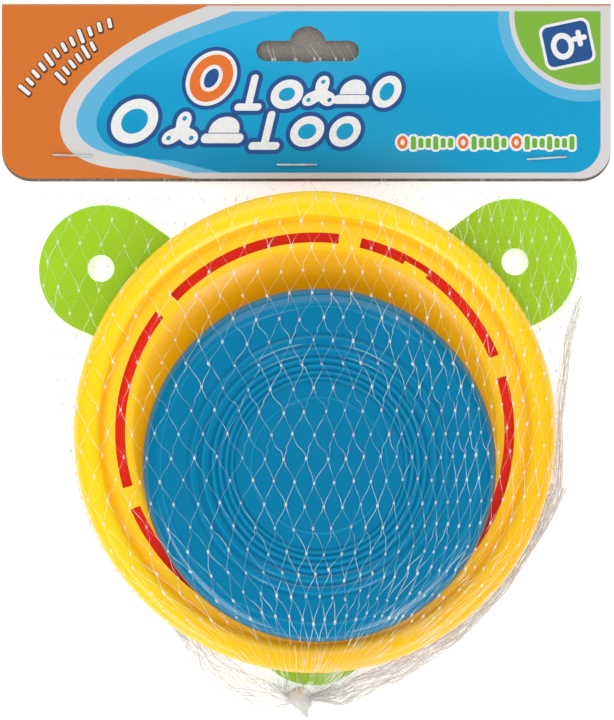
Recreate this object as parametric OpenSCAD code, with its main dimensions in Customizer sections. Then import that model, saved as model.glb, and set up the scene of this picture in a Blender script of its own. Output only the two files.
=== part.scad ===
// Toss game set in a stapled net bag: a folded header card closes a net that holds a
// three-lobed target base, two nested rings, a flying disc and three short pegs.
// The pack lies on its back: +Z points out of the front, +Y points to the header card.

/* [Header card] */
// Width of the card
card_w = 190; // [184:1:196]
// Height of the card's front panel, from the fold to the lower edge
card_h = 54.5; // [52:0.5:58]
// How much longer the rear panel is
rear_drop = 0.9; // [0.5:0.1:1]
// Thickness of the board
card_t = 0.5; // [0.4:0.1:0.6]
// Gap between the two panels
card_gap = 1.4; // [1.4:0.1:1.8]
// Radius of the card's lower corners
card_corner_r = 9.3; // [6:0.1:12]
// Distance from the pack's centre to the fold
fold_y = 111.4; // [110:0.1:114]

/* [Hang slot] */
// Length of the hang slot
slot_l = 32; // [30:1:34]
// Height of the slot's straight band
slot_h = 6.4; // [6:0.1:7]
// Radius of the round hump above the band
hump_r = 5.7; // [5:0.1:6]
// Distance from the fold to the band's upper edge
slot_drop = 11.5; // [10:0.1:13]

/* [Staples] */
// Length of a staple's crown
staple_w = 12.7; // [10:0.1:13]
// Diameter of the staple wire
wire_d = 0.6; // [0.5:0.1:0.6]
// Length of each folded staple leg
clinch_l = 4.8; // [3:0.1:5.5]

/* [Target base] */
// Radius of each round lobe
lobe_r = 20.2; // [18:0.1:21]
// Radius of the circle that the three lobes are centred on
lobe_circle_r = 73.6; // [73:0.1:74]
// Radius of the circle that the three holes lie on
hole_circle_r = 74.6; // [74:0.1:75]
// Diameter of each peg hole
hole_d = 8.4; // [8.4:0.1:9]
// Thickness of the plate
base_t = 2.2; // [1.8:0.1:2.2]
// Half width of an arm at the middle of the base
hub_r = 12; // [10:0.5:16]
// Radius of the inside corner between two arms
corner_r = 10; // [5:1:14]

/* [Rings] */
// Outer radius of the yellow ring
ring_r = 75; // [74.5:0.1:75.2]
// Radius of the rings' central opening
opening_r = 41; // [41:0.1:42]
// Wall thickness of the rings
ring_t = 1.8; // [1.6:0.1:1.8]
// Radius where the flat ledge starts
ledge_r = 57; // [56:0.1:58]
// How far the inner slope drops below the ledge
slope_drop = 7; // [7:0.1:7.4]
// Height between the two nested rings
nest_pitch = 2.5; // [2.5:0.1:2.8]
// Outer radius of the red ring
red_r = 72.8; // [72:0.1:72.8]
// Inner radius of the arc slots
slot_r0 = 59; // [58.5:0.1:59.5]
// Outer radius of the arc slots
slot_r1 = 62.1; // [61.5:0.1:63]
// Angle of the bridge between two slots
bridge_deg = 6.5; // [5:0.5:9]

/* [Flying disc] */
// Outer radius of the disc
disc_r = 55; // [54:0.1:55.2]
// Height of the disc, rim to crown
disc_h = 8.6; // [8:0.1:9]
// Wall thickness of the disc
disc_t = 1.6; // [1.4:0.1:1.8]
// Radius of the rounded shoulder
shoulder_r = 5.4; // [4.5:0.1:5.6]

/* [Pegs] */
// Diameter of the peg's shaft
peg_d = 11.8; // [11:0.1:11.8]
// Length of the shaft, with its round end
peg_l = 60; // [50:1:60]
// Diameter of the spigot that plugs into the base
spigot_d = 8.2; // [8:0.1:8.2]
// Length of the spigot
spigot_l = 6; // [4:0.5:6]

/* [Net bag] */
// Thickness of the net as a plain sheet
net_t = 0.5; // [0.4:0.1:0.5]
// Clearance between loose pieces
clear = 0.3; // [0.3:0.05:0.35]

/* [Hidden] */
$fn = 96;

// Places in the pack, seen from the front
card_y0 = fold_y - card_h;
slot_x = 0.4;
base_at = [1.1, -7.4];
base_turn = 0.9;
ring_at = [2.6, -22.1];
disc_at = [4, -32.4];
weld_at = [-2, -105.2];
staple_left_at = [-73, 64.1];
staple_middle_at = [-2.9, 61.2];
staple_right_at = [75.1, 63.3];

// Heights in the pack, from the surface it lies on
card_z = wire_d;
front_z = card_z + card_t + card_gap;
card_top_z = front_z + card_t;
base_z = net_t + 0.4;
base_top_z = base_z + base_t;
lip_drop = 1.4;
red_mid_z = base_top_z + clear + 0.1 + lip_drop + slope_drop;
yellow_mid_z = red_mid_z + nest_pitch;
ledge_z = yellow_mid_z + ring_t / 2;
disc_z = ledge_z + clear;
peg_z = base_top_z + clear + 0.1 + peg_d / 2;

// The yellow ring's rounded rim, as an arc of the wall's middle line
rim_arc_r = 3.65;
rim_arc_at = [ring_r - ring_t / 2 - rim_arc_r, 0.3];
skirt_drop = 8;

// A moulded wall's section: its middle line, thickened on both sides
function side(path, i, d) =
  let (
    a = path[max(i - 1, 0)],
    b = path[min(i + 1, len(path) - 1)],
    along = (b - a) / norm(b - a)
  )
  path[i] + d * [-along[1], along[0]];

module wall_section(path, t) {
  upper = [for (i = [0:len(path) - 1]) side(path, i, t / 2)];
  lower = [for (i = [len(path) - 1:-1:0]) side(path, i, -t / 2)];
  polygon(concat(upper, lower));
}

function arc(centre, r, from, to, steps) = [
  for (i = [0:steps])
    let (a = from + (to - from) * i / steps)
    centre + r * [cos(a), sin(a)]
];

// Header card -------------------------------------------------------------

module panel_outline(drop) {
  low = card_y0 - drop;
  r = card_corner_r;
  fold_r = card_gap / 2 + card_t;
  translate([-card_w / 2, low + r]) square([card_w, fold_y - fold_r - low - r]);
  translate([-card_w / 2 + r, low]) square([card_w - 2 * r, 2 * r]);
  for (sx = [-1, 1]) translate([sx * (card_w / 2 - r), low + r]) circle(r);
}

module hang_slot_outline() {
  end_r = slot_h / 2;
  band_y = fold_y - slot_drop - slot_h / 2;
  translate([slot_x - slot_l / 2 + end_r, band_y - end_r]) square([slot_l - slot_h, slot_h]);
  for (sx = [-1, 1]) translate([slot_x + sx * (slot_l / 2 - end_r), band_y]) circle(end_r);
  translate([slot_x, band_y + end_r - 1.2]) circle(hump_r);
}

module card_fold() {
  fold_r = card_gap / 2 + card_t;
  translate([card_w / 2, fold_y - fold_r, card_z + fold_r]) rotate([0, -90, 0]) linear_extrude(card_w)
    intersection() {
      difference() {
        circle(fold_r);
        circle(card_gap / 2);
      }
      translate([-fold_r, 0]) square([2 * fold_r, fold_r]);
    }
}

module header_card() color("deepskyblue") {
  translate([0, 0, card_z]) linear_extrude(card_t) panel_outline(rear_drop);
  translate([0, 0, front_z]) linear_extrude(card_t) difference() {
    panel_outline(0);
    hang_slot_outline();
  }
  card_fold();
}

// Staples -----------------------------------------------------------------

module wire(length) rotate([0, 90, 0]) cylinder(d = wire_d, h = length);

module staple(at, turn) color("silver") translate([at[0], at[1], 0]) rotate(turn) {
  half = (staple_w - wire_d) / 2;
  low = wire_d / 2;
  high = card_top_z + wire_d / 2;
  translate([-half, 0, high]) wire(2 * half);
  for (sx = [-1, 1]) {
    translate([sx * half, 0, low]) cylinder(d = wire_d, h = high - low);
    for (z = [low, high]) translate([sx * half, 0, z]) sphere(d = wire_d);
    translate([sx > 0 ? half - clinch_l : -half, 0, low]) wire(clinch_l);
  }
}

// Net bag -----------------------------------------------------------------

collar_x0 = -83;
collar_x1 = 88;
collar_y0 = card_y0 - rear_drop + 0.1;
collar_y1 = fold_y - slot_drop - slot_h - 0.4;
mouth_end_y = card_y0 - rear_drop - 0.5;
mouth_z = 3;

// The part of the net that is held between the card's panels
module net_collar() color("whitesmoke")
  translate([collar_x0, collar_y0, card_z + card_t + clear])
    cube([collar_x1 - collar_x0, collar_y1 - collar_y0, card_gap - 2 * clear]);

// Low corners where the gathered net leaves the rings towards the weld
gather_at = [[-19.5, -100.5], [8, -103], [27.5, -96], [45, -84.5]];

// The taut outline round everything in the net, a distance gap outside it
module bag_envelope(gap, low, mouth_y) hull() {
  for (a = [0:22.5:90])
    translate([ring_at[0], ring_at[1], low])
      cylinder(
        r = rim_arc_at[0] + (rim_arc_r + ring_t / 2 + gap) * cos(a),
        h = yellow_mid_z + rim_arc_at[1] + (rim_arc_r + ring_t / 2 + gap) * sin(a) - low
      );
  for (a = [0:30:90])
    translate([disc_at[0], disc_at[1], low])
      cylinder(
        r = disc_r - shoulder_r + (shoulder_r + gap) * cos(a),
        h = disc_z + disc_h - shoulder_r + (shoulder_r + gap) * sin(a) - low
      );
  for (a = [30:120:270])
    translate([base_at[0], base_at[1], low]) rotate(base_turn + a) translate([lobe_circle_r, 0, 0])
      cylinder(r = lobe_r + gap, h = base_top_z + gap - low);
  for (p = gather_at)
    translate([p[0], p[1], low]) cylinder(r = 2.5 + gap, h = 4.5 + gap - low, $fn = 32);
  translate([collar_x0 - gap, 54.5, low])
    cube([collar_x1 - collar_x0 + 2 * gap, mouth_y - 54.5, mouth_z - net_t - clear + gap - low]);
}

module net_bag() color("white", 0.4) difference() {
  bag_envelope(clear + net_t, 0, mouth_end_y);
  bag_envelope(clear, net_t, mouth_end_y + 2);
}

// The melted end that closes the net
module bag_weld() color("ivory") hull() {
  translate([weld_at[0], weld_at[1], 3.6]) scale([1.15, 1.1, 1]) sphere(3.4, $fn = 32);
  translate([0.2, -fold_y + 0.75, 2.4]) sphere(0.75, $fn = 16);
}

// Target base -------------------------------------------------------------

// Three round lobes on tapered arms, with a rounded inside corner between neighbours
module base_outline() {
  tangent_deg = acos((hub_r - lobe_r) / lobe_circle_r);
  corner_half = tangent_deg - 60;
  corner_at = (hub_r + corner_r) / cos(corner_half);
  polygon([
    for (a = [30:120:270])
      let (
        lobe_at = lobe_circle_r * [cos(a), sin(a)],
        inside_at = corner_at * [cos(a + 60), sin(a + 60)],
        back = a + 240
      )
      each concat(
        arc(lobe_at, lobe_r, a - tangent_deg, a + tangent_deg, 60),
        arc(inside_at, corner_r, back + corner_half, back - corner_half, 16)
      )
  ]);
}

module target_base() color("yellowgreen")
  translate([base_at[0], base_at[1], base_z]) rotate(base_turn) difference() {
    linear_extrude(base_t) base_outline();
    for (a = [30:120:270])
      rotate(a) translate([hole_circle_r, 0, -1]) cylinder(d = hole_d, h = base_t + 2);
  }

// Rings -------------------------------------------------------------------

lip_r = 1;
slope_path = concat(
  [[opening_r + ring_t / 2, -slope_drop - lip_drop]],
  arc([opening_r + ring_t / 2 + lip_r, 0.3 - slope_drop - lip_drop], lip_r, 180, 116, 4),
  [[ledge_r, 0]]
);
yellow_path = concat(
  slope_path,
  [[ledge_r + 4, 0]],
  arc(rim_arc_at, rim_arc_r, 185, 0, 20),
  [[ring_r - ring_t / 2, -skirt_drop]]
);
red_path = concat(
  slope_path,
  arc([red_r - ring_t / 2 - 1.5, -1.5], 1.5, 90, 0, 5),
  [[red_r - ring_t / 2, -skirt_drop + nest_pitch]]
);

module arc_slot() {
  sweep = 60 - bridge_deg;
  rotate(bridge_deg / 2) rotate_extrude(angle = sweep)
    translate([slot_r0, -3]) square([slot_r1 - slot_r0, 6]);
}

// A small lug that narrows one slot
module slot_lug() {
  rotate(54.3) rotate_extrude(angle = 7.9)
    translate([slot_r0 - 1, -ring_t / 2]) square([2.2, ring_t]);
}

module yellow_ring() color("gold") translate([ring_at[0], ring_at[1], yellow_mid_z]) {
  difference() {
    rotate_extrude() wall_section(yellow_path, ring_t);
    for (i = [0:5]) rotate(19.6 + 60 * i) arc_slot();
  }
  slot_lug();
}

module red_ring() color("red") translate([ring_at[0], ring_at[1], red_mid_z])
  rotate_extrude() wall_section(red_path, ring_t);

// Flying disc -------------------------------------------------------------

// Each ridge on the crown: its radius, half width and height
ridges = [
  [21, 0.5, 0.2], [27, 0.6, 0.4], [28.75, 0.85, 0.4], [30.75, 0.9, 0.4], [32.8, 0.95, 0.45],
  [35.5, 1.35, 0.5], [39, 1.4, 0.5], [49.2, 0.4, 0.15]
];
crown_drop = 0.9;
shoulder_at = [disc_r - shoulder_r, disc_h - crown_drop - shoulder_r];

function crown_z(r) = disc_h - crown_drop * pow(r / shoulder_at[0], 2);

function ridge_points(ridge) = [
  for (k = [-1, -0.6, 0, 0.6, 1])
    let (r = ridge[0] + k * ridge[1])
    [r, crown_z(r) + ridge[2] * (1 - pow(k, 4))]
];

module disc_section() {
  outside = concat(
    [[0, crown_z(0)]],
    [for (ridge = ridges) each ridge_points(ridge)],
    arc(shoulder_at, shoulder_r, 90, 0, 12),
    [[disc_r, 0]]
  );
  inside = concat(
    [for (r = [0:10:40]) [r, crown_z(r) - disc_t]],
    arc(shoulder_at, shoulder_r - disc_t, 90, 0, 6),
    [[disc_r - disc_t, 0]]
  );
  polygon(concat(outside, [for (i = [len(inside) - 1:-1:0]) inside[i]]));
}

module blue_disc() color("steelblue") translate([disc_at[0], disc_at[1], disc_z])
  rotate_extrude() disc_section();

// Pegs --------------------------------------------------------------------

peg_pitch = peg_d + 1.2;

// A peg along Y, centred on its length, with its spigot towards end
module peg(index, end) color("yellowgreen")
  translate([ring_at[0] + index * peg_pitch, ring_at[1], peg_z]) rotate([end > 0 ? -90 : 90, 0, 0])
    translate([0, 0, -(peg_l + spigot_l) / 2]) {
      dome = peg_d / 2;
      translate([0, 0, dome]) sphere(dome);
      translate([0, 0, dome]) cylinder(r = dome, h = peg_l - dome);
      translate([0, 0, peg_l - 1]) cylinder(d = spigot_d, h = spigot_l + 1);
    }

header_card();
staple(staple_left_at, -1.8);  // staple_left
staple(staple_middle_at, 0);  // staple_middle
staple(staple_right_at, 3.7);  // staple_right
net_collar();
net_bag();
bag_weld();
target_base();
red_ring();
yellow_ring();
blue_disc();
peg(-1, 1);  // peg_left
peg(0, -1);  // peg_middle
peg(1, 1);  // peg_right
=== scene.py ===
"""Looks for the toss game set in a net bag: printed card, moulded plastic pieces and extruded netting."""
import math

import bpy
import numpy as np
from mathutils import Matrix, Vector
from mathutils.geometry import tessellate_polygon


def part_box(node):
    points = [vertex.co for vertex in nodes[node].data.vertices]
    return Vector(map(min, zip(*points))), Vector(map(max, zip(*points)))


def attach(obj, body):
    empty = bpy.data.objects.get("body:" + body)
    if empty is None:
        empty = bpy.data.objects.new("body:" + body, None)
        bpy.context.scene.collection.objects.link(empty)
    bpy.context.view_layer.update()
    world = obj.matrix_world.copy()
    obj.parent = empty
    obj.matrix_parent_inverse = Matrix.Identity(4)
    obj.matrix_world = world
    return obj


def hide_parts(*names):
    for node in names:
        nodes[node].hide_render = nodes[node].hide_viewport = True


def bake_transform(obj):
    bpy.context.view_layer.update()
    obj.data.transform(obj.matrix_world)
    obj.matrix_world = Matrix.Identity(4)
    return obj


MM = 0.001
SEED = 7

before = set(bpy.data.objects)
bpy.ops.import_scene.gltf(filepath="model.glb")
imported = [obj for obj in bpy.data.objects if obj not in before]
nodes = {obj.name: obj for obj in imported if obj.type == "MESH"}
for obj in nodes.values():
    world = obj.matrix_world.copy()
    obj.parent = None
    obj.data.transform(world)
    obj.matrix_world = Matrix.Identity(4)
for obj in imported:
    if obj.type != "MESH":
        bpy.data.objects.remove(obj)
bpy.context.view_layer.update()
rng = np.random.default_rng(SEED)


def box_mm(node):
    """Lowest and highest corner of a CAD node in millimetres."""
    low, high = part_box(node)
    return np.array(low) / MM, np.array(high) / MM


# Shader fields ------------------------------------------------------------


class Field:
    """A number that varies over the surface: wraps a node socket, so that formulas read like formulas."""

    def __init__(self, tree, socket):
        self.tree, self.socket = tree, socket

    def _math(self, operation, *others):
        node = self.tree.nodes.new("ShaderNodeMath")
        node.operation = operation
        for slot, value in enumerate((self, *others)):
            if isinstance(value, Field):
                self.tree.links.new(value.socket, node.inputs[slot])
            else:
                node.inputs[slot].default_value = value
        return Field(self.tree, node.outputs[0])

    def __add__(self, other):
        return self._math("ADD", other)

    def __sub__(self, other):
        return self._math("SUBTRACT", other)

    def __mul__(self, other):
        return self._math("MULTIPLY", other)

    def __truediv__(self, other):
        return self._math("DIVIDE", other)

    def absolute(self):
        return self._math("ABSOLUTE")

    def root(self):
        return self._math("SQRT")

    def lower(self, other):
        return self._math("MINIMUM", other)

    def upper(self, other):
        return self._math("MAXIMUM", other)

    def inverse(self):
        return self * -1.0 + 1.0

    def step(self, edge, soft):
        """0 below edge, 1 above it, over a soft width."""
        node = self.tree.nodes.new("ShaderNodeMapRange")
        node.interpolation_type = "SMOOTHSTEP"
        self.tree.links.new(self.socket, node.inputs["Value"])
        node.inputs["From Min"].default_value = edge - soft / 2
        node.inputs["From Max"].default_value = edge + soft / 2
        return Field(self.tree, node.outputs["Result"])


class Paint:
    """Builds one procedural material around a Principled shader. Lengths in it are millimetres."""

    def __init__(self, name):
        self.material = bpy.data.materials.new(name)
        self.material.use_nodes = True
        self.tree = self.material.node_tree
        self.shader = self.tree.nodes["Principled BSDF"]
        coords = self.tree.nodes.new("ShaderNodeTexCoord")
        self.place = coords.outputs["Object"]
        split = self.tree.nodes.new("ShaderNodeSeparateXYZ")
        self.tree.links.new(self.place, split.inputs[0])
        self.x, self.y, self.z = (Field(self.tree, s) * (1 / MM) for s in split.outputs)
        facing = self.tree.nodes.new("ShaderNodeSeparateXYZ")
        self.tree.links.new(coords.outputs["Normal"], facing.inputs[0])
        self.facing_z = Field(self.tree, facing.outputs["Z"])

    def set(self, **values):
        for name, value in values.items():
            self.shader.inputs[name.replace("_", " ")].default_value = value

    def noise(self, size_mm, detail=2.0, stretch=(1, 1, 1)):
        """Noise from 0 to 1 with features of about size_mm."""
        scale = self.tree.nodes.new("ShaderNodeMapping")
        scale.inputs["Scale"].default_value = stretch
        self.tree.links.new(self.place, scale.inputs["Vector"])
        node = self.tree.nodes.new("ShaderNodeTexNoise")
        node.inputs["Scale"].default_value = 1 / (size_mm * MM)
        node.inputs["Detail"].default_value = detail
        self.tree.links.new(scale.outputs[0], node.inputs["Vector"])
        return Field(self.tree, node.outputs["Fac"])

    def distance(self, centre):
        """Distance from a point of the plan view."""
        dx, dy = self.x - centre[0], self.y - centre[1]
        return (dx * dx + dy * dy).root()

    def mix(self, below, above, share):
        """Colour above laid over colour below where share is 1. Either is a tuple or another mix's result."""
        node = self.tree.nodes.new("ShaderNodeMix")
        node.data_type = "RGBA"
        self.tree.links.new(share.socket, node.inputs["Factor"])
        for value, slot in ((below, "A"), (above, "B")):
            target = next(s for s in node.inputs if s.name == slot and s.type == "RGBA")
            if isinstance(value, tuple):
                target.default_value = (*value, 1)
            else:
                self.tree.links.new(value, target)
        return next(s for s in node.outputs if s.type == "RGBA")

    def link(self, socket, name):
        self.tree.links.new(socket, self.shader.inputs[name])

    def roughness(self, low, high, share):
        self.link((share * (high - low) + low).socket, "Roughness")

    def bump(self, height, depth_mm, normal=None):
        """Adds a bump whose height field runs from 0 to 1 over depth_mm."""
        node = self.tree.nodes.new("ShaderNodeBump")
        node.inputs["Strength"].default_value = 1.0
        node.inputs["Distance"].default_value = depth_mm * MM
        self.tree.links.new(height.socket, node.inputs["Height"])
        if normal:
            self.tree.links.new(normal, node.inputs["Normal"])
        self.link(node.outputs[0], "Normal")
        return node.outputs[0]


def paint_node(node, material):
    """Gives a CAD node one material."""
    obj = nodes[node]
    obj.data.materials.clear()
    obj.data.materials.append(material)
    for face in obj.data.polygons:
        face.material_index = 0


def darker(colour, by):
    return tuple(c * by for c in colour)


def moulded_plastic(
    name, base, deep, gloss=0.2, painted_shade_zones=(), painted_ridge_lines=(), lower=None, glow=(0, 0, 0), glow_strength=0.0
):
    """Semi-gloss injection-moulded plastic: colour drift, fine orange peel, faint handling scratches.

    Each zone is (centre, radius, soft width, colour): inside that radius the colour is painted shade and
    painted bounce light, standing for the light that bounces between the walls of a bowl. The lower right of
    the piece can take a painted shade, a little deeper in colour. The glow is a painted glow, standing for the
    light that comes through the wall. Each ring line is (centre, radius, half width, colour): a painted
    highlight that makes a crest lighter, or painted shade that keeps a line between two crests darker.
    """
    p = Paint(name)
    drift = p.noise(38, 1.0)
    speck = p.noise(1.1, 3.0)
    body = p.mix(base, deep, drift.step(0.55, 0.5) * 0.45)
    # Painted shade and bounce light: each zone's colour stands for the light and shade inside a bowl.
    for centre, radius, soft, colour in painted_shade_zones:
        body = p.mix(body, colour, p.distance(centre).step(radius, soft).inverse())
    # Painted highlight along the crests and painted shade along the lines between them.
    for centre, radius, half_width, colour in painted_ridge_lines:
        line = (p.distance(centre) - radius).absolute().step(half_width, half_width).inverse()
        body = p.mix(body, colour, line * (p.noise(20, 2.0) * 0.5 + 0.45))
    # Painted shade: the lower right of the piece is laid over with a deeper colour.
    if lower:
        towards_lower_right = p.x * 0.55 - p.y * 0.85
        body = p.mix(body, lower, towards_lower_right.step(48.0, 110.0) * 0.75)
    body = p.mix(body, tuple(min(1, c * 1.12 + 0.005) for c in base), speck.step(0.7, 0.2) * 0.12)
    p.link(body, "Base Color")
    scratch = p.noise(9, 4.0, stretch=(1, 9, 1)).step(0.63, 0.06)
    p.roughness(gloss, gloss + 0.16, p.noise(14, 3.0) * 0.6 + scratch * 0.4)
    first = p.bump(p.noise(16, 1.0), 0.22)
    p.bump(p.noise(0.9, 2.0), 0.008, first)
    p.set(IOR=1.47, Emission_Color=(*glow, 1), Emission_Strength=glow_strength)
    return p.material


def steel_wire():
    p = Paint("staple_wire")
    streak = p.noise(1.2, 3.0, stretch=(0.2, 1, 1))
    p.link(p.mix((0.72, 0.72, 0.73), (0.42, 0.43, 0.45), streak.step(0.55, 0.4)), "Base Color")
    p.roughness(0.16, 0.34, streak)
    p.bump(streak, 0.02)
    p.set(Metallic=0.35)
    return p.material


def clear_netting(name, faint, full, base, glow):
    """Milky translucent polyethylene netting, painted clearer in some places than in others: a painted
    highlight that makes some strands look brighter.
    """
    p = Paint(name)
    cloud = p.noise(2.4, 2.0)
    drawn = p.noise(7.0, 2.0).step(0.56, 0.2)
    p.link((drawn * (full - faint) + faint).socket, "Alpha")
    p.link(p.mix(base, darker(base, 0.86), cloud.step(0.5, 0.4)), "Base Color")
    p.roughness(0.16, 0.34, cloud)
    p.bump(p.noise(0.6, 2.0), 0.02)
    # The emission is a painted glow that lifts the strands' shaded sides.
    p.set(IOR=1.5, Emission_Color=(1, 1, 1, 1), Emission_Strength=glow)
    return p.material


# Printed card -------------------------------------------------------------

ORANGE = (0.60, 0.155, 0.02)
PAPER_WHITE = (0.60, 0.585, 0.58)
LIGHT_BLUE = (0.10, 0.40, 0.63)
MAIN_BLUE = (0.012, 0.36, 0.63)
# The mid and low blues are painted shade: the blue print is painted deeper lower down and at the lower left.
LOWER_SHADE_BLUE = (0.001, 0.30, 0.54)
LOW_LEFT_SHADE_BLUE = (0.001, 0.235, 0.45)
LEAF_GREEN = (0.19, 0.41, 0.04)
BOARD_GREY = (0.26, 0.235, 0.21)
DARK_BLUE = (0.012, 0.075, 0.26)

CARD_LOW, CARD_HIGH = box_mm("header_card")
FOLD_Y = CARD_HIGH[1]
CARD_TOP_Z = CARD_HIGH[2]
PANEL_HEIGHT = 54.5
FRONT_EDGE_Y = FOLD_Y - PANEL_HEIGHT
PRINT_EDGE = 0.25
# The print inside the white border: its right, lower and upper edges and its lower right corner.
INNER_RIGHT_X, INNER_LOW_Y, INNER_HIGH_Y, INNER_CORNER_R = 91.8, FRONT_EDGE_Y + 1.8, FOLD_Y - 2.3, 9.0
# The green corner is a disc in a white one, and the blue keeps clear of both.
GREEN_CORNER_AT = (86.7, 107.9)
GREEN_CORNER_R, WHITE_CORNER_R, CLEAR_CORNER_R = 21.8, 23.4, 27.0
# Each swoosh: centre, half length, half width, tilt in degrees, slope of its lower edge.
WHITE_SWOOSH = ((-29.2, 87.4), 50.3, 22.4, 21.1, 0.15)
LIGHT_SWOOSH = ((-30.9, 86.6), 43.1, 18.3, 20.5, 0.29)
BLUE_SWOOSH = ((-19.0, 85.5), 48.1, 19.2, 16.4, 0.25)
# How far the fold's printed outside reaches in from the top edge, and how much of it is all orange.
FOLD_DEPTH, ORANGE_FOLD = 1.19, 0.55


def swoosh(p, centre, half_length, half_width, tilt_deg, floor_slope):
    """1 inside a tilted half ellipse that opens to the right and runs into the card's lower edge."""
    c, s = math.cos(math.radians(tilt_deg)), math.sin(math.radians(tilt_deg))
    dx, dy = p.x - centre[0], p.y - centre[1]
    along = (dx * c + dy * s).lower(0.0) / half_length
    across = dy * c - dx * s
    limit = (along * along).inverse().upper(0.0).root() * half_width
    below_top = (limit - across).step(0.0, PRINT_EDGE)
    drop = math.hypot(half_length * s, half_width * c)
    low_x = centre[0] - (half_length**2 - half_width**2) * s * c / drop
    floor_y = (p.x - low_x) * -floor_slope + (centre[1] - drop)
    past_low = (p.x - low_x).step(0.0, 0.1)
    above_ellipse = (across + limit).step(0.0, PRINT_EDGE)
    above_floor = (p.y - floor_y).step(0.0, PRINT_EDGE)
    inside_end = (along + 0.9999).step(0.0, 0.0002)
    above = (above_floor * past_low + above_ellipse * past_low.inverse()).lower(1.0)
    return below_top * above * (inside_end + past_low).lower(1.0)


def quarter_disc(p, radius):
    """1 within radius of the green corner's centre."""
    return p.distance(GREEN_CORNER_AT).step(radius, PRINT_EDGE).inverse()


def corner_mask(p):
    """0 outside the inner print panel's rounded lower right corner."""
    dx = (p.x - (INNER_RIGHT_X - INNER_CORNER_R)).upper(0.0)
    dy = (p.y - (INNER_LOW_Y + INNER_CORNER_R)).lower(0.0)
    return (dx * dx + dy * dy).root().step(INNER_CORNER_R, PRINT_EDGE).inverse()


def printed_board():
    """Coated board: print outside, raw grey board on the inside and on the cut edges."""
    p = Paint("printed_board")
    ink = p.mix(ORANGE, PAPER_WHITE, swoosh(p, *WHITE_SWOOSH))
    inner = p.x.step(INNER_RIGHT_X, 0.2).inverse() * p.y.step(INNER_HIGH_Y, 0.2).inverse()
    inner = inner * p.y.step(INNER_LOW_Y, 0.2) * corner_mask(p)
    ink = p.mix(ink, LIGHT_BLUE, swoosh(p, *LIGHT_SWOOSH) * inner)
    pool = swoosh(p, *BLUE_SWOOSH) * inner
    pool = pool * quarter_disc(p, CLEAR_CORNER_R).inverse()
    # Painted shade: the blue is deeper lower down and deeper still at the lower left.
    blue = p.mix(MAIN_BLUE, LOWER_SHADE_BLUE, p.y.step(93.0, 22.0).inverse())
    low_left_shade = (p.y + p.x * 0.10).step(66.0, 16.0).inverse() * p.x.step(52.0, 50.0).inverse()
    blue = p.mix(blue, LOW_LEFT_SHADE_BLUE, low_left_shade)
    ink = p.mix(ink, blue, pool)
    ink = p.mix(ink, PAPER_WHITE, quarter_disc(p, WHITE_CORNER_R) * inner)
    ink = p.mix(ink, LEAF_GREEN, quarter_disc(p, GREEN_CORNER_R) * inner)
    rolled = p.y.step(FOLD_Y - ORANGE_FOLD, 0.2)
    ink = p.mix(ink, ORANGE, rolled)
    ink = p.mix(ink, darker(PAPER_WHITE, 0.84), p.noise(60, 1.0).step(0.62, 0.3) * 0.05)
    outside = p.facing_z.absolute().step(0.5, 0.1)
    level = (p.z - (CARD_LOW[2] + CARD_TOP_Z) / 2).absolute()
    skin = level.step((CARD_TOP_Z - CARD_LOW[2]) / 2 - 0.1, 0.05)
    fold = p.y.step(FOLD_Y - FOLD_DEPTH, 0.02) * level.step(0.5, 0.1)
    printed = (outside * skin + fold).lower(1.0)
    fibre = p.noise(0.5, 3.0)
    board = p.mix(BOARD_GREY, darker(BOARD_GREY, 0.68), fibre.step(0.5, 0.4))
    p.link(p.mix(board, ink, printed), "Base Color")
    p.roughness(0.34, 0.62, printed.inverse() * 0.8 + p.noise(8, 3.0) * 0.25)
    wave = p.bump(p.noise(30, 1.0), 0.5)
    p.bump(fibre, 0.02, wave)
    p.set(IOR=1.36)
    return p.material


# Mesh helpers -------------------------------------------------------------


def new_piece(name, vertices, faces, material, body, slot, smooth=True):
    """A mesh piece, given in millimetres, that rides on a body."""
    mesh = bpy.data.meshes.new(name)
    mesh.from_pydata((np.asarray(vertices) * MM).tolist(), [], [tuple(f) for f in faces])
    mesh.update()
    mesh.validate()
    obj = bpy.data.objects.new(name, mesh)
    bpy.context.scene.collection.objects.link(obj)
    obj.data.materials.append(material)
    for face in mesh.polygons:
        face.use_smooth = smooth
    if body:
        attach(obj, body)
    return obj


def unit(v):
    return v / np.maximum(np.linalg.norm(v, axis=-1, keepdims=True), 1e-9)


def tubes(paths, radius, sides=5):
    """Closed round tubes along paths of shape (count, points, 3), as vertices and faces."""
    count, points, _ = paths.shape
    along = unit(np.gradient(paths, axis=1))
    across = unit(np.cross(along, np.array([0.12, 0.05, 1.0])))
    up = np.cross(across, along)
    angle = 2 * np.pi * np.arange(sides) / sides
    ring = np.cos(angle)[:, None] * across[:, :, None, :] + np.sin(angle)[:, None] * up[:, :, None, :]
    vertices = (paths[:, :, None, :] + radius * ring).reshape(-1, 3)
    start = (np.arange(count) * points * sides)[:, None, None]
    row = (np.arange(points - 1) * sides)[None, :, None]
    col = np.arange(sides)[None, None, :]
    nxt = (col + 1) % sides
    a, b = start + row + col, start + row + nxt
    quads = np.stack([a, b, b + sides, a + sides], -1).reshape(-1, 4).tolist()
    first = np.arange(count)[:, None] * points * sides + np.arange(sides)[None, ::-1]
    last = np.arange(count)[:, None] * points * sides + (points - 1) * sides + np.arange(sides)[None, :]
    return vertices, quads + first.tolist() + last.tolist()


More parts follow.
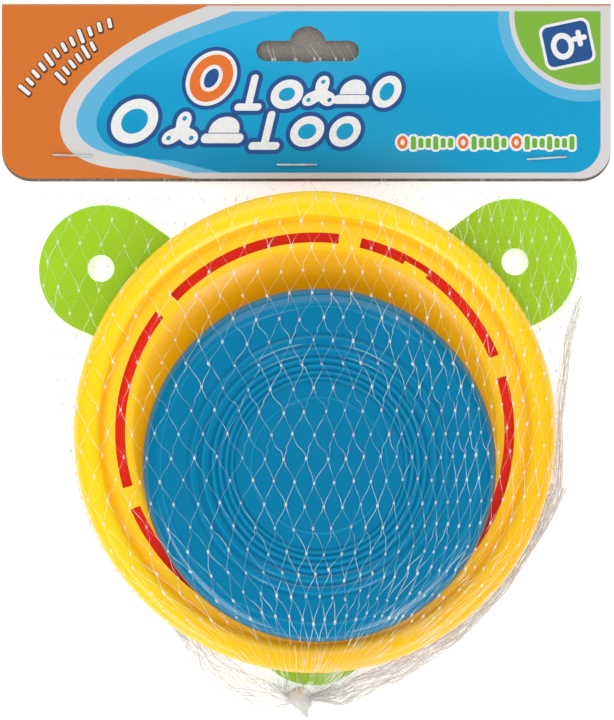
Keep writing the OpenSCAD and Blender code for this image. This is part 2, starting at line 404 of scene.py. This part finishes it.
def beads(centres, along, half_length, half_width, half_height):
    """Small ellipsoid welds with their long axis on along."""
    sides, rings = 6, 3
    count = len(centres)
    across = unit(np.cross(along, np.array([0.0, 0.05, 1.0])))
    up = np.cross(across, along)
    template = [(0.0, 0.0, -1.0)]
    for k in range(rings):
        lat = math.pi * ((k + 1) / (rings + 1) - 0.5)
        for j in range(sides):
            turn = 2 * math.pi * j / sides
            template.append((math.cos(lat) * math.cos(turn), math.cos(lat) * math.sin(turn), math.sin(lat)))
    template.append((0.0, 0.0, 1.0))
    t = np.array(template)
    size = rng.uniform(0.8, 1.15, (count, 1, 1))
    vertices = centres[:, None, :] + size * (
        t[None, :, 0:1] * half_width * across[:, None, :]
        + t[None, :, 1:2] * half_height * up[:, None, :]
        + t[None, :, 2:3] * half_length * along[:, None, :]
    )
    faces = []
    top = 1 + rings * sides
    for j in range(sides):
        n = (j + 1) % sides
        faces.append((0, 1 + n, 1 + j))
        faces.append((top, top - sides + j, top - sides + n))
        for k in range(rings - 1):
            a, b = 1 + k * sides + j, 1 + k * sides + n
            faces.append((a, b, b + sides, a + sides))
    all_faces = [tuple(i + m * len(t) for i in f) for m in range(count) for f in faces]
    return vertices.reshape(-1, 3), all_faces


def joined(parts):
    """Several (vertices, faces) as one."""
    vertices, faces, offset = [], [], 0
    for v, f in parts:
        vertices.append(v)
        faces += [tuple(i + offset for i in face) for face in f]
        offset += len(v)
    return np.concatenate(vertices), faces


# Printed pictograms -------------------------------------------------------

PRINT_STEP = 0.05
# Shapes of one layer differ by this much in height, over so many levels, so that none share a face.
SHAPE_STEP, SHAPE_LEVELS = 0.0015, 24
PRINT_CLEARANCE = 0.004
BADGE_AT, BADGE_TURN = (81.4, 98.9), 12


def turned(x, y, u, v, turn):
    """Points (u, v) of a shape's own plan, turned by degrees and moved to (x, y)."""
    c, s = math.cos(math.radians(turn)), math.sin(math.radians(turn))
    return np.stack([x + u * c - v * s, y + u * s + v * c], -1)


def oval(x, y, half_w, half_h, turn=0.0, count=40):
    a = 2 * np.pi * np.arange(count) / count
    return turned(x, y, half_w * np.cos(a), half_h * np.sin(a), turn)


def bar(x, y, half_w, half_h, corner, turn=0.0):
    """A rectangle with round corners."""
    a = np.radians(np.arange(0, 361, 15))
    quadrant = np.array([[1, 1], [-1, 1], [-1, -1], [1, -1]])
    points = []
    for k, (sx, sy) in enumerate(quadrant):
        part = a[6 * k:6 * k + 7]
        points.append(np.stack([
            sx * (half_w - corner) + corner * np.cos(part), sy * (half_h - corner) + corner * np.sin(part)
        ], 1))
    p = np.concatenate(points)
    return turned(x, y, p[:, 0], p[:, 1], turn)


def trefoil(x, y, reach, turn=90.0):
    """The outline of a three-lobed plate."""
    a = 2 * np.pi * np.arange(72) / 72
    r = reach * (0.66 + 0.34 * np.cos(3 * a)) ** 0.8
    b = a + math.radians(turn)
    return np.stack([x + r * np.cos(b), y + r * np.sin(b)], 1)


def grown(loop, by):
    """A loop moved outwards along its own normals."""
    along = unit(np.roll(loop, -1, 0) - np.roll(loop, 1, 0))
    return loop + by * np.stack([along[:, 1], -along[:, 0]], 1)


def leaning(loop, base_y, lean=0.24):
    """A loop slanted to the right about the line it stands on."""
    out = loop.copy()
    out[:, 0] += lean * (loop[:, 1] - base_y)
    return out


def flat_print(name, shapes, material, layer):
    """Shapes, each an outline with holes, as one thin closed sheet of ink on the card's front."""
    vertices, faces = [], []
    low = CARD_TOP_Z + PRINT_CLEARANCE
    for order, loops in enumerate(shapes):
        high = low + PRINT_STEP * layer + SHAPE_STEP * (order % SHAPE_LEVELS)
        flat = [[Vector((q[0], q[1], 0)) for q in loop] for loop in loops]
        triangles = tessellate_polygon(flat)
        points = np.concatenate(loops)
        n, start = len(points), len(vertices)
        vertices += [(q[0], q[1], low) for q in points] + [(q[0], q[1], high) for q in points]
        for t in triangles:
            a, b, c = (points[i] for i in t)
            area = (b[0] - a[0]) * (c[1] - a[1]) - (b[1] - a[1]) * (c[0] - a[0])
            up = t if area > 0 else t[::-1]
            faces.append([start + n + i for i in up])
            faces.append([start + i for i in reversed(up)])
        first = 0
        for k, loop in enumerate(loops):
            for i in range(len(loop)):
                a, b = first + i, first + (i + 1) % len(loop)
                side = [start + a, start + b, start + n + b, start + n + a]
                faces.append(side if k == 0 else side[::-1])
            first += len(loop)
    return new_piece(name, vertices, faces, material, "header", "header_card", smooth=False)


def printing_ink(name, colour):
    p = Paint(name)
    mottle = p.noise(0.7, 3.0)
    p.link(p.mix(colour, darker(colour, 0.9), mottle.step(0.55, 0.4)), "Base Color")
    p.roughness(0.32, 0.45, p.noise(8, 2.0))
    p.bump(mottle, 0.004)
    p.set(IOR=1.45)
    return p.material


def ring_glyph(x, y, w, h, stroke):
    return [[oval(x, y, w, h), oval(x, y, w - stroke, h - stroke)[::-1]]]


def disc_glyph(x, y, w, h):
    """A flying disc from the side: a dome over a rim."""
    a = np.radians(np.arange(0, 181, 9))
    dome = np.stack([x + 0.72 * w * np.cos(a), y + h * np.sin(a) ** 0.8], 1)
    return [[bar(x, y - 0.35 * h, w, 0.3 * h, 0.29 * h)], [dome]]


def peg_glyph(x, y, h, foot):
    """A peg that stands on its plate."""
    return [[bar(x, y, 0.2 * h, h, 0.19 * h)], [bar(x, y - 0.82 * h, foot, 0.2 * h, 0.19 * h)]]


def trefoil_glyph(x, y, reach):
    holes = [
        oval(x + 0.66 * reach * math.cos(math.radians(t)), y + 0.66 * reach * math.sin(math.radians(t)),
             0.12 * reach, 0.12 * reach, count=14)[::-1]
        for t in (90, 210, 330)
    ]
    return [[trefoil(x, y, reach), *holes]]


def title_rows():
    """Two leaning rows of pictograms: white shapes, and larger dark ones behind them."""
    rows = (
        (77.6, peg_glyph(-18.6, 83.8, 5.6, 4.2) + ring_glyph(-7.4, 83.2, 5.0, 4.6, 2.5)
         + trefoil_glyph(3.0, 83.3, 5.7) + disc_glyph(13.0, 83.2, 5.6, 4.6)
         + ring_glyph(23.6, 84.0, 4.4, 5.0, 2.2)),
        (66.4, ring_glyph(-55.6, 74.8, 7.2, 7.0, 3.1) + trefoil_glyph(-40.2, 71.6, 6.2)
         + disc_glyph(-27.0, 71.2, 6.6, 5.0) + peg_glyph(-13.4, 72.0, 6.0, 4.8)
         + ring_glyph(-1.0, 71.6, 5.2, 4.8, 2.4) + ring_glyph(10.8, 71.6, 4.8, 4.8, 2.2)),
    )
    white, dark = [], []
    for base_y, glyphs in rows:
        for loops in glyphs:
            tilted = [leaning(loop, base_y) for loop in loops]
            white.append(tilted)
            dark.append([grown(tilted[0], 1.35), *tilted[1:]])
    return white, dark


def slogan():
    """Rows of dots, each after a small ring: white backs, orange rings and green bars."""
    white, orange, green = [], [], []
    x = 30.0
    for dots in (6, 5, 7):
        white.append([oval(x, 68.2, 2.35, 2.75, count=24)])
        orange.append([oval(x, 68.2, 1.6, 2.0, count=24), oval(x, 68.2, 0.7, 1.0, count=16)[::-1]])
        x += 3.4
        for k in range(dots):
            height = 1.5 if k % 3 else 2.1
            white.append([bar(x, 68.0, 1.5, height + 0.65, 1.2)])
            green.append([bar(x, 68.0, 0.78, height, 0.6)])
            x += 2.32
        x += 1.6
    return white, orange, green


def curved_marks():
    """Two arched rows of bars at the left: white marks with dark backs."""
    white, dark = [], []
    rows = (
        (12, (-88.0, 84.6), (-79.0, 99.0), (-61.4, 105.4), 1.0),
        (6, (-76.8, 88.4), (-72.5, 94.0), (-66.6, 98.2), 0.95),
    )
    for count, start, middle, end, width in rows:
        start, middle, end = np.array(start), np.array(middle), np.array(end)
        for k in range(count):
            t = k / (count - 1)
            x, y = start * (1 - t) ** 2 + middle * 2 * t * (1 - t) + end * t * t
            dx, dy = (middle - start) * (1 - t) + (end - middle) * t
            tall = 2.3 if k % 4 == 0 else 1.6
            turn = math.degrees(math.atan2(dy, dx)) - 8
            white.append([bar(x, y, width * 0.62, tall, 0.5, turn)])
            dark.append([bar(x + 0.15, y - 0.2, width * 0.62 + 0.42, tall + 0.42, 0.9, turn)])
    return white, dark


def badge():
    """The tilted badge at the right: a white back, a dark field, and a ring beside a cross."""
    white = [[bar(*BADGE_AT, 8.0, 7.2, 2.6, BADGE_TURN)]]
    dark = [[bar(*BADGE_AT, 7.1, 6.3, 2.0, BADGE_TURN)]]
    ring_x, ring_y = turned(*BADGE_AT, -1.6, -0.4, BADGE_TURN)
    cross_x, cross_y = turned(*BADGE_AT, 4.0, 1.0, BADGE_TURN)
    art = [
        [oval(ring_x, ring_y, 3.6, 4.2, BADGE_TURN), oval(ring_x, ring_y, 1.9, 2.4, BADGE_TURN)[::-1]],
        [bar(cross_x, cross_y, 0.8, 2.6, 0.7, BADGE_TURN)],
        [bar(cross_x, cross_y, 2.4, 0.8, 0.7, BADGE_TURN)],
    ]
    return white, dark, art


def build_print():
    """Generic pictograms of the game's pieces, and rows of plain marks."""
    title_white, title_dark = title_rows()
    orange = [[leaning(loop, 80.0) for loop in loops] for loops in ring_glyph(-31.6, 88.2, 6.6, 7.4, 3.2)]
    orange_back = [[grown(loop, 1.2) for loop in loops] for loops in orange]
    orange_dark = [[grown(loops[0], 2.4)] for loops in orange]
    slogan_white, slogan_orange, slogan_green = slogan()
    curved_white, curved_dark = curved_marks()
    badge_white, badge_dark, badge_art = badge()

    ink_white = printing_ink("ink_white", (0.78, 0.78, 0.78))
    ink_dark = printing_ink("ink_dark_blue", DARK_BLUE)
    ink_orange = printing_ink("ink_orange", (0.74, 0.16, 0.02))
    ink_green = printing_ink("ink_green", (0.13, 0.42, 0.03))
    ink_brown = printing_ink("ink_brown", (0.10, 0.035, 0.02))
    flat_print("print_outlines", title_dark + orange_dark, ink_dark, 1)
    flat_print("print_glyphs", title_white + orange_back, ink_white, 2)
    flat_print("print_orange_ring", orange, ink_orange, 3)
    flat_print("print_left_outlines", curved_dark, ink_brown, 1)
    flat_print("print_left_marks", curved_white, ink_white, 2)
    flat_print("print_slogan_back", slogan_white + badge_white, ink_white, 1)
    flat_print("print_slogan_orange", slogan_orange, ink_orange, 2)
    flat_print("print_slogan_green", slogan_green, ink_green, 2)
    flat_print("print_badge", badge_dark, ink_dark, 2)
    flat_print("print_badge_art", badge_art, ink_white, 3)


# Net bag ------------------------------------------------------------------

COLUMNS = 63
ROW_PITCH = 7.1
STRAND_R = 0.105
BUNCH_R = 0.11
KNOT_HALF = (0.60, 0.42, 0.26)
MOUTH_Y = FRONT_EDGE_Y - 1.4
COLLAR_TOP_Y = 94.2
COLLAR_Z = (1.45, 2.15)
GATHER_Y = -87.0
END_Y = -105.0
BEYOND_Y = 130.0
LOOP_POINTS = 360
SKIN_INSET = STRAND_R + 0.08
FLOOR_GAP = STRAND_R + 0.02
WELD_LOW, WELD_HIGH = box_mm("bag_weld")
WELD = (WELD_LOW + WELD_HIGH) / 2


def convex_loop(points):
    """Convex hull of 2-D points, anticlockwise."""
    pts = sorted(map(tuple, np.round(points, 5)))

    def half(sequence):
        out = []
        for q in sequence:
            while len(out) > 1:
                (ax, ay), (bx, by) = out[-2], out[-1]
                if (bx - ax) * (q[1] - ay) - (by - ay) * (q[0] - ax) > 0:
                    break
                out.pop()
            out.append(q)
        return out

    lower, upper = half(pts), half(reversed(pts))
    return np.array(lower[:-1] + upper[:-1])


def even_loop(loop, count):
    """Evenly spaced points round a closed (x, z) loop, from the middle of its underside, leftwards."""
    closed = np.vstack([loop, loop[:1]])
    length = np.concatenate([[0], np.cumsum(np.linalg.norm(np.diff(closed, axis=0), axis=1))])
    where = np.arange(count) / count * length[-1]
    even = np.stack([np.interp(where, length, closed[:, k]) for k in (0, 1)], 1)
    even = even[::-1]
    floor_band, far = 0.3, 1e3
    middle = (loop[:, 0].min() + loop[:, 0].max()) / 2
    floor = even[:, 1] < loop[:, 1].min() + floor_band
    start = np.argmin(np.abs(even[:, 0] - middle) + far * ~floor)
    return np.roll(even, -start, axis=0)


class Envelope:
    """The taut bag's outline: closed sections along Y, read from the CAD bag and carried into the card."""

    def __init__(self):
        mesh = nodes["net_bag"].data
        points = np.array([v.co for v in mesh.vertices]) / MM
        edges = np.array([e.vertices[:] for e in mesh.edges])
        a, b = points[edges[:, 0]], points[edges[:, 1]]
        last_cut = MOUTH_Y - 0.6
        self.levels = np.concatenate([np.arange(END_Y, last_cut, 1.0), [last_cut]])
        loops = [self._section(a, b, y) for y in self.levels]
        collar = loops[-1].copy()
        low, high = collar[:, 1].min(), collar[:, 1].max()
        collar[:, 1] = np.interp(collar[:, 1], (low, high), COLLAR_Z)
        self.levels = np.concatenate([self.levels, [MOUTH_Y + 0.9, BEYOND_Y]])
        self.loops = np.array([*loops, collar, collar])

    @staticmethod
    def _section(a, b, y):
        crossing = (a[:, 1] - y) * (b[:, 1] - y) < 0
        p, q = a[crossing], b[crossing]
        t = (y - p[:, 1]) / (q[:, 1] - p[:, 1])
        cut = p + t[:, None] * (q - p)
        loop = convex_loop(cut[:, [0, 2]])
        loop = np.clip(loop, loop.min(0) + SKIN_INSET, loop.max(0) - SKIN_INSET)
        return even_loop(loop, LOOP_POINTS)

    def at(self, turn, y):
        """Points (x, y, z) at a share of a turn round the bag, at height y along it."""
        turn, y = np.broadcast_arrays(np.asarray(turn, float), np.asarray(y, float))
        level = np.interp(y, self.levels, np.arange(len(self.levels)))
        low = np.minimum(level.astype(int), len(self.levels) - 2)
        f = (level - low)[..., None]
        place = (turn % 1.0) * LOOP_POINTS
        first = place.astype(int) % LOOP_POINTS
        g = (place - np.floor(place))[..., None]
        second = (first + 1) % LOOP_POINTS
        here = self.loops[low, first] * (1 - g) + self.loops[low, second] * g
        after = self.loops[low + 1, first] * (1 - g) + self.loops[low + 1, second] * g
        xz = here * (1 - f) + after * f
        return np.stack([xz[..., 0], y, xz[..., 1]], -1)


def pull(turn):
    """The net is pulled round the pack, so its columns are closer together on the right."""
    return turn + 0.032 * np.sin(4 * np.pi * (turn - 0.40)) + 0.004 * np.sin(6 * np.pi * turn + 1.0)


def drawn_in(turn, y):
    """Columns crowd towards the middle of the front and of the back as they near the weld."""
    first_y, length, most, front_middle = -52, 52, 0.42, 0.488
    near = np.clip((first_y - y) / length, 0, 1) ** 1.5 * most
    share = turn % 1.0
    front = (share > 0.25) & (share < 0.75)
    back = np.where(share > 0.5, share - 1.0, share)
    return np.where(front, front_middle + (share - front_middle) * (1 - near), back * (1 - near))


def sag(x):
    """Rows hang lower in the middle than at the sides, in millimetres."""
    return 4.2 * ((x + 6) / 80) ** 2 - 1.6


def net_knots(env):
    """Knot places as (row, column) arrays of turn and y."""
    rows = int((COLLAR_TOP_Y - GATHER_Y) / ROW_PITCH)
    k = np.arange(rows + 1)[:, None]
    i = np.arange(COLUMNS)[None, :]
    turn = pull((i + 0.5 * (k % 2)) / COLUMNS)
    turn = turn + rng.normal(0, 0.05 / COLUMNS, turn.shape)
    base_y = COLLAR_TOP_Y - (COLLAR_TOP_Y - GATHER_Y) * k / rows
    x = env.at(turn, base_y)[..., 0]
    inside = np.clip((MOUTH_Y - base_y) / 25, 0, 1) * np.clip((base_y - GATHER_Y) / 30, 0, 1)
    drift = 0.5 * np.sin(x / 17 + 2.0) + 0.4 * np.sin(x / 9 + base_y / 21)
    low = np.clip((-45 - base_y) / 40, 0, 1)
    y = base_y + inside * (sag(x) + drift) + rng.normal(0, 1.0, turn.shape) * (0.22 + 1.1 * low)
    return drawn_in(turn, y), y


def net_strands(env, turn, y):
    """Both strands from every knot to the row below: they leave a knot straight and swing across."""
    t = np.linspace(0, 1, 7)
    ease = t * t * (3 - 2 * t)
    knot_side = 0.16 / 340
    paths = []
    for k in range(len(turn) - 1):
        odd = k % 2
        for shift in (0, 1):
            step = shift - 1 + odd
            target = np.roll(turn[k + 1], -step)
            other_y = np.roll(y[k + 1], -step)
            gap = (target - turn[k] + 0.5) % 1.0 - 0.5
            side = knot_side if gap.mean() > 0 else -knot_side
            swing = turn[k][:, None] + side + (gap[:, None] - 2 * side) * ease
            down = y[k][:, None] + (other_y - y[k])[:, None] * t
            points = env.at(swing, down)
            points[..., 2] += 0.25 * np.sin(np.pi * t) * rng.uniform(-0.4, 1, (len(gap), 1))
            points[..., 2] = np.maximum(points[..., 2], FLOOR_GAP)
            paths.append(points)
    return np.concatenate(paths)


def gathered_end(env, turn, y):
    """Every column's end: over the rim in the bag's surface, then drawn in to the weld."""
    over, inward = 12, 6
    t = np.linspace(0, 1, over)[None, :]
    paths = []
    for spread, late in ((0.0, 0.0), (0.4, 12.0), (0.5, 16.0)):
        first = turn[-1][:, None] + rng.normal(0, spread / COLUMNS, (COLUMNS, 1))
        first_y = y[-1][:, None] - rng.uniform(0, late + 0.001, (COLUMNS, 1))
        last_y = END_Y + rng.uniform(3.2, 4.6, (COLUMNS, 1))
        down = first_y + (last_y - first_y) * t
        wave = 0.3 / COLUMNS * np.sin(9 * t + rng.uniform(0, 6, (COLUMNS, 1))) * t
        points = env.at(drawn_in(first + wave, down), down)
        weld = WELD + rng.normal(0, 0.7, (COLUMNS, 3)) * np.array([1.2, 1.2, 0.7])
        share = (np.arange(1, inward + 1) / inward)[None, :, None]
        corner = points[:, -1] * 0.5 + weld * 0.5 - np.array([0, 1.0, 0])
        bend = points[:, -1:] * (1 - share) ** 2 + 2 * corner[:, None] * share * (1 - share)
        paths.append(np.concatenate([points, bend + weld[:, None] * share**2], 1))
    out = np.concatenate(paths)
    out[..., 2] = np.maximum(out[..., 2], FLOOR_GAP)
    return out


def bunched(outline, inner, count, heights, points=60, waves=9.0, swing=0.14):
    """Slack netting bunched between an inner and an outer outline, as wavy strands."""
    outer, inside = (np.array(o, float) for o in (outline, inner))
    t = np.linspace(0, 1, points)
    knots_t = np.linspace(0, 1, len(outer))
    edge = np.stack([np.interp(t, knots_t, outer[:, k]) for k in (0, 1)], 1)
    base = np.stack([np.interp(t, knots_t, inside[:, k]) for k in (0, 1)], 1)
    share = rng.uniform(0, 1, (count, 1))
    phase = rng.uniform(0, 2 * np.pi, (count, 1))
    wobble = swing * np.sin(waves * rng.uniform(0.6, 1.2, (count, 1)) * 2 * np.pi * t[None, :] + phase)
    mix = np.clip(share + wobble, 0, 1.04)[..., None]
    flat = base[None] * (1 - mix) + edge[None] * mix
    z = rng.uniform(*heights, (count, 1)) * (1 - 0.45 * t[None, :])
    z = z + 0.5 * np.sin(waves * 1.3 * np.pi * t[None, :] + phase)
    return np.concatenate([flat, np.maximum(z, 0.3)[..., None]], -1)


def loose_ends(env, turn, y):
    """The cut ends above the first row, which show in the hang slot."""
    t = np.linspace(0, 1, 5)
    top = env.at(turn, y)
    lean = rng.uniform(-3.5, 1.5, (COLUMNS, 1)) * t
    rise = rng.uniform(2.0, 6.0, (COLUMNS, 1)) * t
    return np.stack([top[:, :1] + lean, top[:, 1:2] + rise, top[:, 2:] + 0 * lean], -1)


def slack_bunches():
    """The slack netting outside the taut bag: lower right, lower left and along the right side."""
    weld = (WELD[0], WELD[1] + 1)
    right = bunched(
        [(81, -40), (75, -52), (62.5, -71.5), (48.5, -86.5), (30, -99), (11, -107.3), weld],
        [(76.5, -38), (71, -53), (59, -70), (44, -83.5), (26, -94), (9, -101.5), weld],
        60, (1.5, 9.0), points=80, waves=6.0,
    )
    left = bunched(
        [(-46, -78.5), (-38.6, -87.0), (-34, -95), (-23, -104.4), (-9, -109.2), weld],
        [(-42, -78), (-34.5, -86), (-26, -91.5), (-18, -97.5), (-8, -101.5), weld],
        36, (1.0, 6.0), points=60, waves=3.5,
    )
    side = bunched(
        [(86.5, 22), (84, 10), (81.5, -4), (80, -20), (80, -40)],
        [(83, 16), (79.5, 4), (78.3, -8), (78, -20), (77, -38)],
        24, (2.0, 9.0), points=50, waves=3.0,
    )
    return joined([tubes(strands, BUNCH_R, 4) for strands in (right, left, side)])


def build_net():
    """The bag's strands and knots, which run into the card at its edge, and the slack bunches."""
    env = Envelope()
    turn, y = net_knots(env)
    strands = net_strands(env, turn, y)
    ends = gathered_end(env, turn, y)
    bunches = slack_bunches()
    loose = loose_ends(env, turn[0], y[0])
    knots = env.at(turn, y)
    ahead = env.at(turn, y - 0.5) - knots
    knot_mesh = beads(knots[:-1].reshape(-1, 3), unit(ahead[:-1].reshape(-1, 3)), *KNOT_HALF)
    strand_mesh = joined([
        tubes(strands, STRAND_R),
        tubes(ends, STRAND_R * 0.85, 4),
        tubes(loose, STRAND_R),
    ])
    new_piece("net_bunches", *bunches, NET_BUNCH, "pack", "net")
    strand_obj = new_piece("net_strands", *strand_mesh, NET_STRAND, None, "net")
    knot_obj = new_piece("net_welds", *knot_mesh, NET_WELD, None, "net")
    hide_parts("net_bag", "net_collar")
    for obj in (strand_obj, knot_obj):
        (MOUTH_Y - 0.7) * MM
        (MOUTH_Y + 0.9) * MM
        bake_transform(obj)


# Weld ---------------------------------------------------------------------


def build_weld():
    """The melted end: a round lump with drawn-out ridges, pinched to a tip."""
    low, high = WELD_LOW, WELD_HIGH
    lump_r, lump_length, flatness = 3.9, 3.74, 0.86
    tip_shift, least_width, least_z = 2.2, 0.03, 0.25
    centre_x, centre_y = low[0] + 3.91, high[1] - lump_length
    rings, sides = 30, 44
    vertices, faces = [], []
    for r in range(rings + 1):
        v = (1 - math.cos(math.pi * r / rings)) / 2
        y = high[1] + (low[1] - high[1]) * v
        swell = math.sqrt(max(0.0, 1 - ((centre_y - y) / lump_length) ** 2)) * lump_r
        taper = max(0.0, y - low[1]) ** 0.62 * 0.85 if y < centre_y - 1.5 else 0.0
        width = max(least_width, swell, taper)
        shift = tip_shift * max(0.0, centre_y - 1.0 - y) / (centre_y - 1.0 - low[1])
        for s in range(sides):
            a = 2 * math.pi * s / sides
            ridge = 0.97 + 0.03 * math.sin(7 * a + 3 * v) + 0.02 * math.sin(13 * a + 7 * v)
            ridge += 0.02 * math.sin(4 * a - 9 * v)
            z = WELD[2] + flatness * width * ridge * math.sin(a)
            vertices.append((centre_x + shift + width * ridge * math.cos(a), y, max(least_z, z)))
    for r in range(rings):
        for s in range(sides):
            n = (s + 1) % sides
            a, b = r * sides + s, r * sides + n
            faces.append((a, b, b + sides, a + sides))
    faces.append(tuple(range(sides))[::-1])
    faces.append(tuple(rings * sides + s for s in range(sides)))
    obj = new_piece("weld_lump", vertices, faces, melted_netting(), "pack", "bag_weld")
    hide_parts("bag_weld")


def melted_netting():
    p = Paint("melted_netting")
    cloud = p.noise(2.6, 3.0)
    p.link(p.mix((0.52, 0.50, 0.47), (0.43, 0.41, 0.38), cloud.step(0.52, 0.4)), "Base Color")
    p.roughness(0.3, 0.5, cloud)
    p.bump(p.noise(0.7, 3.0), 0.12)
    # The faint emission is a painted glow that lifts the lump's shaded sides.
    p.set(IOR=1.4, Emission_Color=(1, 0.98, 0.95, 1), Emission_Strength=0.1)
    return p.material


# Scene --------------------------------------------------------------------


def area_light(name, azimuth, elevation, distance, size, radiance, glossy=True):
    """A softbox that faces the pack, placed by the direction it stands in."""
    turn, rise = math.radians(azimuth), math.radians(elevation)
    level = math.cos(rise)
    place = distance * Vector((math.cos(turn) * level, math.sin(turn) * level, math.sin(rise)))
    data = bpy.data.lights.new(name, "AREA")
    data.shape = "RECTANGLE"
    data.size, data.size_y = size
    data.energy = radiance * math.pi * size[0] * size[1]
    obj = bpy.data.objects.new(name, data)
    obj.location = place
    obj.rotation_euler = (-place).to_track_quat("-Z", "Z").to_euler()
    obj.visible_glossy = glossy
    bpy.context.scene.collection.objects.link(obj)


def build_stage():
    """White floor, even light all round, an overhead lamp, two tall softboxes in front, a broad one behind."""
    mesh = bpy.data.meshes.new("floor")
    half = 3.0
    corners = [(-half, -half, 0), (half, -half, 0), (half, half, 0), (-half, half, 0)]
    mesh.from_pydata(corners, [], [(0, 1, 2, 3)])
    floor = bpy.data.objects.new("floor", mesh)
    bpy.context.scene.collection.objects.link(floor)
    white = bpy.data.materials.new("white_floor")
    white.use_nodes = True
    shader = white.node_tree.nodes["Principled BSDF"]
    shader.inputs["Base Color"].default_value = (0.85, 0.85, 0.85, 1)
    shader.inputs["Roughness"].default_value = 0.9
    shader.inputs["Emission Color"].default_value = (1, 1, 1, 1)
    shader.inputs["Emission Strength"].default_value = 0.45
    mesh.materials.append(white)
    world = bpy.data.worlds.new("studio")
    world.use_nodes = True
    world.node_tree.nodes["Background"].inputs["Color"].default_value = (1, 1, 1, 1)
    world.node_tree.nodes["Background"].inputs["Strength"].default_value = 0.3
    bpy.context.scene.world = world
    world.cycles_visibility.glossy = False
    area_light("overhead", 90, 84, 1.6, (1.4, 1.0), 0.8, glossy=False)
    area_light("left_softbox", 235, 36, 1.2, (0.36, 1.2), 5.0)
    area_light("right_softbox", 299, 36, 1.2, (0.38, 1.2), 5.0)
    area_light("upper_softbox", 94, 40, 1.2, (1.5, 1.2), 1.6)


def build_camera():
    """Straight down from far off; seen is the picture's longer side at the height of the pack's middle."""
    data = bpy.data.cameras.new("camera")
    camera = bpy.data.objects.new("camera", data)
    sensor, height, pack_middle, seen = 36, 4.0, 0.012, 0.2241
    data.sensor_width = sensor
    data.lens = sensor * (height - pack_middle) / seen
    camera.location = (0.0002, 0.0003, height)
    bpy.context.scene.collection.objects.link(camera)
    bpy.context.scene.camera = camera


# Colours and assembly -----------------------------------------------------

GREEN, DEEP_GREEN = (0.33, 0.59, 0.018), (0.27, 0.54, 0.010)
RED, DEEP_RED = (0.76, 0.022, 0.006), (0.70, 0.014, 0.004)
# The lower yellow is a painted shade for the yellow ring's lower right.
YELLOW, DEEP_YELLOW, LOWER_RIGHT_SHADE_YELLOW = (0.74, 0.575, 0.008), (0.73, 0.54, 0.006), (0.66, 0.33, 0.008)
YELLOW_GLOW = (1.0, 0.40, 0.0)
BLUE, DEEP_BLUE = (0.001, 0.178, 0.345), (0.001, 0.165, 0.32)
# The crest and groove colours are a painted highlight and a painted shade on the disc's ridges.
CREST_HIGHLIGHT, GROOVE_SHADE = (0.006, 0.245, 0.44), (0.001, 0.125, 0.26)


def centre_of(node):
    """The middle of a CAD node in the plan view."""
    return tuple(np.mean(box_mm(node), axis=0)[:2])


def paint_staples():
    wire = steel_wire()
    for staple in ("staple_left", "staple_middle", "staple_right"):
        paint_node(staple, wire)


def paint_green_pieces():
    plate = moulded_plastic("green_plastic", GREEN, DEEP_GREEN, glow=GREEN, glow_strength=0.06)
    paint_node("target_base", plate)
    peg_plastic = moulded_plastic("green_peg_plastic", GREEN, DEEP_GREEN)
    for peg in ("peg_left", "peg_middle", "peg_right"):
        paint_node(peg, peg_plastic)


def paint_rings():
    paint_node("red_ring", moulded_plastic("red_plastic", RED, DEEP_RED, glow=RED, glow_strength=0.06))
    middle = centre_of("yellow_ring")
    # Painted shade and bounce light inside the yellow ring's bowl, more orange towards the middle and at the
    # bead's foot.
    painted_shade_zones = [
        (middle, 67.4, 0.8, (0.80, 0.42, 0.008)),
        (middle, 65.0, 2.0, (0.73, 0.50, 0.016)),
        (middle, 56.5, 4.0, (0.76, 0.37, 0.004)),
        (middle, 47.0, 14.0, (0.84, 0.29, 0.001)),
    ]
    # The yellow ring's lower right takes a painted shade.
    plastic = moulded_plastic(
        "yellow_plastic", YELLOW, DEEP_YELLOW, painted_shade_zones=painted_shade_zones, lower=LOWER_RIGHT_SHADE_YELLOW,
        glow=YELLOW_GLOW, glow_strength=0.24,
    )
    paint_node("yellow_ring", plastic)


def paint_disc():
    """Blue plastic, with a painted highlight on the ridges' crests and painted shade in the grooves outside
    them.
    """
    middle = centre_of("blue_disc")
    crest_radii = (21.2, 27.2, 28.9, 30.9, 33.0, 36.1, 39.8, 49.4)
    groove_radii = (26.2, 28.0, 29.8, 31.8, 33.9, 37.2, 41.0)
    lines = [(middle, radius, 0.3, GROOVE_SHADE) for radius in groove_radii]
    lines += [(middle, radius, 0.32, CREST_HIGHLIGHT) for radius in crest_radii]
    paint_node("blue_disc", moulded_plastic("blue_plastic", BLUE, DEEP_BLUE, gloss=0.12, painted_ridge_lines=lines))


bpy.context.scene.view_settings.view_transform = "Standard"
build_camera()
build_stage()
NET_STRAND = clear_netting("net_strand", 0.07, 0.34, (0.90, 0.95, 0.97), 0.08)
NET_BUNCH = clear_netting("net_bunch", 0.28, 0.5, (0.80, 0.785, 0.76), 0.04)
NET_WELD = clear_netting("net_weld", 0.26, 0.46, (0.95, 0.95, 0.96), 0.1)
paint_node("header_card", printed_board())
paint_staples()
paint_green_pieces()
paint_rings()
paint_disc()
build_print()
build_net()
build_weld()
